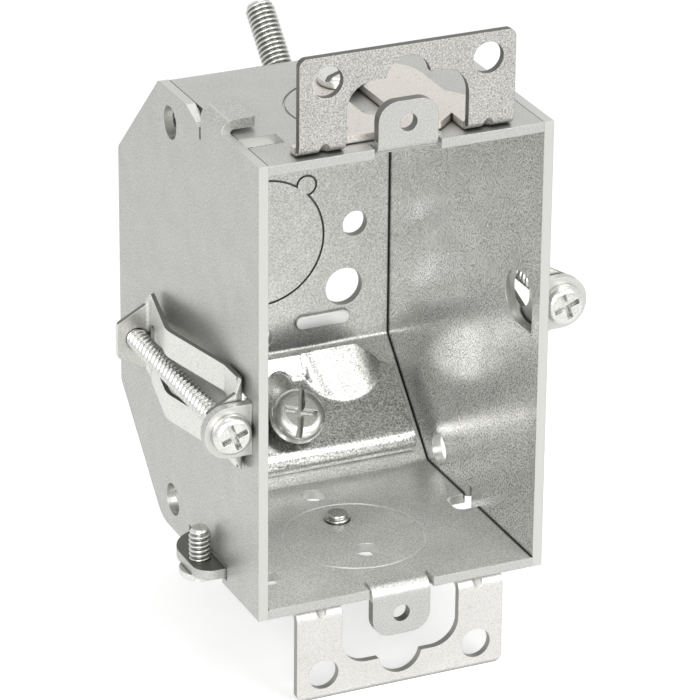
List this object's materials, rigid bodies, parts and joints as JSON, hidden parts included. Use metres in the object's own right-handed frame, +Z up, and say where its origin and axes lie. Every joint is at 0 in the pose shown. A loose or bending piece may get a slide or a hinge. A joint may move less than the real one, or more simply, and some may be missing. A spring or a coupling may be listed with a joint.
{
  "type": "switch box",
  "caption": "Gangable metal wall box for a switch: bevelled rear corners, adjustable plaster ears, side grip clips and inside cable clamps.",
  "frame": {"origin": "centre of the front opening, midway between the two device screw holes, in the plane of the front edges", "axes": "+X to the right, +Y into the wall towards the back of the box, +Z up"},
  "size_m": [0.065, 0.0586, 0.1082],
  "materials": {
    "folded_sheet": "galvanised, matt",
    "plate_sheet": "galvanised, matt",
    "clip_strip": "zinc plated, satin",
    "ear_strip": "galvanised, satin",
    "clamp_plate": "zinc plated, bright",
    "zinc_screw": "zinc plated, bright"
  },
  "bodies": {
    "box": {"box_body": "folded_sheet", "left_side_plate": "plate_sheet", "right_side_plate": "plate_sheet", "left_clip": "clip_strip", "right_clip": "clip_strip"},
    "top_ear": {"top_ear": "ear_strip"},
    "bottom_ear": {"bottom_ear": "ear_strip"},
    "top_clamp": {"top_cable_clamp": "clamp_plate"},
    "bottom_clamp": {"bottom_cable_clamp": "clamp_plate"},
    "top_ear_screw": {"top_ear_screw": "zinc_screw"},
    "bottom_ear_screw": {"bottom_ear_screw": "zinc_screw"},
    "left_clip_screw": {"left_clip_screw": "zinc_screw"},
    "right_clip_screw": {"right_clip_screw": "zinc_screw"},
    "top_clamp_screw": {"top_clamp_screw": "zinc_screw"},
    "bottom_clamp_screw": {"bottom_clamp_screw": "zinc_screw"},
    "left_gang_screw": {"left_gang_screw": "zinc_screw"}
  },
  "joints": [
    {"name": "top_ear_slide", "type": "slide", "parent": "box", "child": "top_ear", "axis": [0, 1, 0], "range_m": [0, 0.012]},
    {"name": "bottom_ear_slide", "type": "slide", "parent": "box", "child": "bottom_ear", "axis": [0, 1, 0], "range_m": [0, 0.012]},
    {"name": "top_clamp_lift", "type": "slide", "parent": "box", "child": "top_clamp", "axis": [0, -0.7071, -0.7071], "range_m": [0, 0.0024]},
    {"name": "bottom_clamp_lift", "type": "slide", "parent": "box", "child": "bottom_clamp", "axis": [0, -0.7071, 0.7071], "range_m": [0, 0.0024]},
    {"name": "top_ear_screw_turn", "type": "hinge", "parent": "box", "child": "top_ear_screw", "pos_m": [0, 0.0248, 0.04], "axis": [0, 0, 1], "continuous": true},
    {"name": "bottom_ear_screw_turn", "type": "hinge", "parent": "box", "child": "bottom_ear_screw", "pos_m": [0, 0.0248, -0.04], "axis": [0, 0, -1], "continuous": true},
    {"name": "left_clip_screw_turn", "type": "hinge", "parent": "box", "child": "left_clip_screw", "pos_m": [-0.0282, 0.0026, -0.006], "axis": [0, -1, 0], "continuous": true},
    {"name": "right_clip_screw_turn", "type": "hinge", "parent": "box", "child": "right_clip_screw", "pos_m": [0.0282, 0.0026, 0.006], "axis": [0, -1, 0], "continuous": true},
    {"name": "top_clamp_screw_turn", "type": "hinge", "parent": "box", "child": "top_clamp_screw", "pos_m": [0, 0.0469, 0.03089], "axis": [0, -0.7071, -0.7071], "continuous": true},
    {"name": "bottom_clamp_screw_turn", "type": "hinge", "parent": "box", "child": "bottom_clamp_screw", "pos_m": [0, 0.0469, -0.03089], "axis": [0, -0.7071, 0.7071], "continuous": true},
    {"name": "left_gang_screw_turn", "type": "hinge", "parent": "box", "child": "left_gang_screw", "pos_m": [-0.0269, 0.0183, -0.0365], "axis": [0, 0, -1], "continuous": true}
  ]
}
